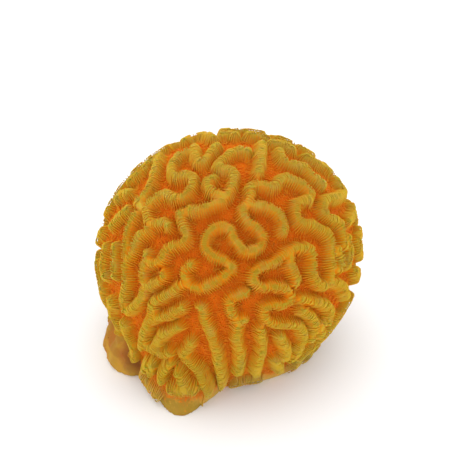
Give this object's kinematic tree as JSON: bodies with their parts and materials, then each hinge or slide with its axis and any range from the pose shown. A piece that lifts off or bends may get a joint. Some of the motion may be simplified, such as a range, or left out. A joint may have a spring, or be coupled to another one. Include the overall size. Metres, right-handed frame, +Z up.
{
  "type": "brain coral",
  "caption": "Globose brain coral colony with meandering rounded ridges, toothed across by fine blades, cut off flat at its base.",
  "frame": {"origin": "on the flat cut base, under the middle of the colony's box", "axes": "+X to the right as the picture shows it, +Y away from the viewer, +Z up"},
  "size_m": [0.1174, 0.106, 0.1032],
  "materials": {
    "coral": "dry matt coral, mustard yellow ridges over deep orange valleys"
  },
  "bodies": {
    "root": {"brain_coral": "coral"}
  },
  "joints": []
}
